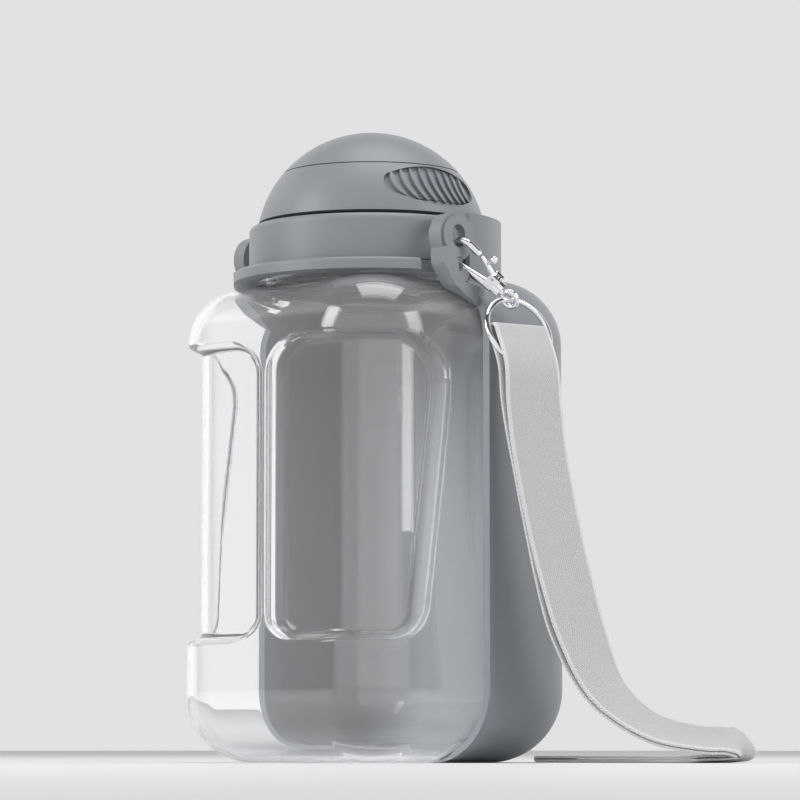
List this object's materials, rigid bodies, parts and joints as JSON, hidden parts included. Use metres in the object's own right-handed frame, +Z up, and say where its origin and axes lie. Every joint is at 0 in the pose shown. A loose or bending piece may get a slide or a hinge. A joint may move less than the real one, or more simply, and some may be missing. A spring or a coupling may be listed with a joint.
{
  "type": "dog travel water bottle",
  "caption": "Travel water bottle for a dog: clear square bottle, bowl clipped round its back, screw lid with a domed pour cap, and a webbing strap on a snap hook.",
  "frame": {"origin": "centre of the base, on the floor", "axes": "+Z up along the bottle, -Y the clear front with its two grip windows, +Y the bowl, +X the side of the hook and strap"},
  "size_m": [0.1975, 0.153, 0.2494],
  "materials": {
    "clear_plastic": "clear, glossy",
    "grey_plastic": "satin",
    "silicone": "matt, milky",
    "chrome": "polished",
    "steel": "brushed",
    "webbing": "woven, matt"
  },
  "bodies": {
    "bottle": {"bottle": "clear_plastic", "neck_ring": "grey_plastic"},
    "bowl": {"bowl": "grey_plastic"},
    "lid_lift": {"neck_gasket": "silicone"},
    "lid": {"lid_collar": "grey_plastic"},
    "dome_lift": {"dome_seal": "silicone"},
    "dome": {"dome_band": "grey_plastic", "pour_deck": "grey_plastic", "port_seal": "silicone", "deck_seal": "silicone"},
    "crown": {"crown": "grey_plastic", "valve_rotor": "silicone", "crown_washer": "steel", "crown_screw": "steel"},
    "hook": {"hook_body": "chrome", "gate_pin": "steel", "gate_spring": "steel"},
    "gate": {"hook_gate": "chrome"},
    "swivel": {"swivel_eye": "chrome"},
    "ring": {"strap_ring": "chrome", "strap": "webbing"}
  },
  "joints": [
    {"name": "bowl_slide", "type": "slide", "parent": "bottle", "child": "bowl", "axis": [0, 1, 0], "range_m": [0, 0.13]},
    {"name": "lid_lift", "type": "slide", "parent": "bottle", "child": "lid_lift", "axis": [0, 0, 1], "range_m": [0, 0.0121]},
    {"name": "lid_turn", "type": "hinge", "parent": "lid_lift", "child": "lid", "pos_m": [0, 0, 0.2], "axis": [0, 0, 1], "range_deg": [0, 720]},
    {"name": "dome_lift", "type": "slide", "parent": "lid", "child": "dome_lift", "axis": [0, 0, 1], "range_m": [0, 0.0071]},
    {"name": "dome_turn", "type": "hinge", "parent": "dome_lift", "child": "dome", "pos_m": [0, 0, 0.218], "axis": [0, 0, 1], "range_deg": [0, 630]},
    {"name": "crown_turn", "type": "hinge", "parent": "dome", "child": "crown", "pos_m": [0, 0, 0.226], "axis": [0, 0, 1], "range_deg": [0, 60]},
    {"name": "hook_swing", "type": "hinge", "parent": "bowl", "child": "hook", "pos_m": [0.05693, -0.01041, 0.20029], "axis": [1, 0, 0], "range_deg": [0, 15]},
    {"name": "gate_turn", "type": "hinge", "parent": "hook", "child": "gate", "pos_m": [0.06695, -0.00038, 0.18608], "axis": [0.1363, -0.8518, -0.5058], "range_deg": [0, 20], "stiffness_Nm_per_rad": 0.0006, "springref_deg": -8.59},
    {"name": "swivel_turn", "type": "hinge", "parent": "hook", "child": "swivel", "pos_m": [0.06979, 0.00493, 0.17791], "axis": [0.5142, 0.4972, -0.6989], "range_deg": [0, 15]},
    {"name": "ring_swing", "type": "hinge", "parent": "swivel", "child": "ring", "pos_m": [0.06979, 0.00493, 0.17791], "axis": [0.892, -0.1896, 0.4104], "range_deg": [0, 25]}
  ],
  "couplings": [
    {"joint": "lid_lift", "follows": "lid_turn", "m_per_rad": 0.00095493},
    {"joint": "dome_lift", "follows": "dome_turn", "m_per_rad": 0.00063662}
  ]
}
